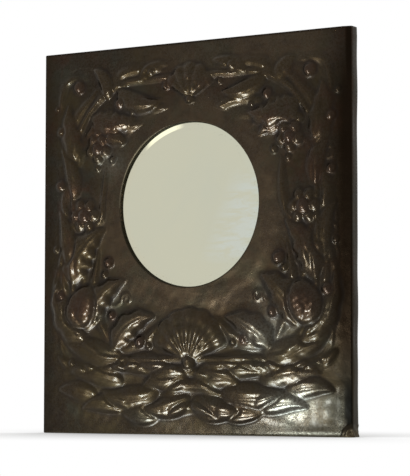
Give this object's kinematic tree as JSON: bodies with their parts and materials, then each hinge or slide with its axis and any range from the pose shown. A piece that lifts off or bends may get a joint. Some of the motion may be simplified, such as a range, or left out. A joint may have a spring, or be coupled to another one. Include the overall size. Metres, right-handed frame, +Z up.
{
  "type": "wall mirror",
  "caption": "Upright rectangular wall mirror in raised dark copper over a plank core, with a round bevelled glass set high and leaf relief round it; swinging rings behind.",
  "frame": {"origin": "on the rear face of the back cover, which rests on the wall, at the middle of the panel's width and height", "axes": "+Z up the panel, +Y out of the back towards the wall, so the mirror faces -Y, +X to the right of someone who looks into the glass"},
  "size_m": [0.57, 0.037, 0.61],
  "materials": {
    "patinated_copper": "copper with a dark brown patina, waxed to a soft gloss, redder on the high relief",
    "mirror_glass": "silvered plate glass with a wide bevel",
    "card": "plain grey-brown card",
    "cover_board": "thin aged pine board, unvarnished",
    "core_pine": "planed pine planks, aged brown",
    "block_pine": "sawn pine",
    "hanger_brass": "dull yellow brass",
    "screw_steel": "plain steel, slightly dulled"
  },
  "bodies": {
    "mirror": {"copper_sheet": "patinated_copper", "mirror_glass": "mirror_glass", "packing_card": "card", "back_cover": "cover_board", "core_plank_1": "core_pine", "core_plank_2": "core_pine", "core_plank_3": "core_pine", "core_plank_4": "core_pine", "glazing_block_1": "block_pine", "glazing_block_2": "block_pine", "glazing_block_3": "block_pine", "glazing_block_4": "block_pine", "glazing_block_5": "block_pine", "glazing_block_6": "block_pine", "glazing_block_7": "block_pine", "glazing_block_8": "block_pine", "hanger_straps": "hanger_brass", "hanger_screws": "screw_steel"},
    "ring_left": {"hanger_ring_left": "hanger_brass"},
    "ring_right": {"hanger_ring_right": "hanger_brass"}
  },
  "joints": [
    {"name": "ring_left_swing", "type": "hinge", "parent": "mirror", "child": "ring_left", "pos_m": [-0.219, -0.0039, 0.1708], "axis": [1, 0, 0], "range_deg": [0, 180]},
    {"name": "ring_right_swing", "type": "hinge", "parent": "mirror", "child": "ring_right", "pos_m": [0.219, -0.0039, 0.1708], "axis": [1, 0, 0], "range_deg": [0, 180]}
  ]
}
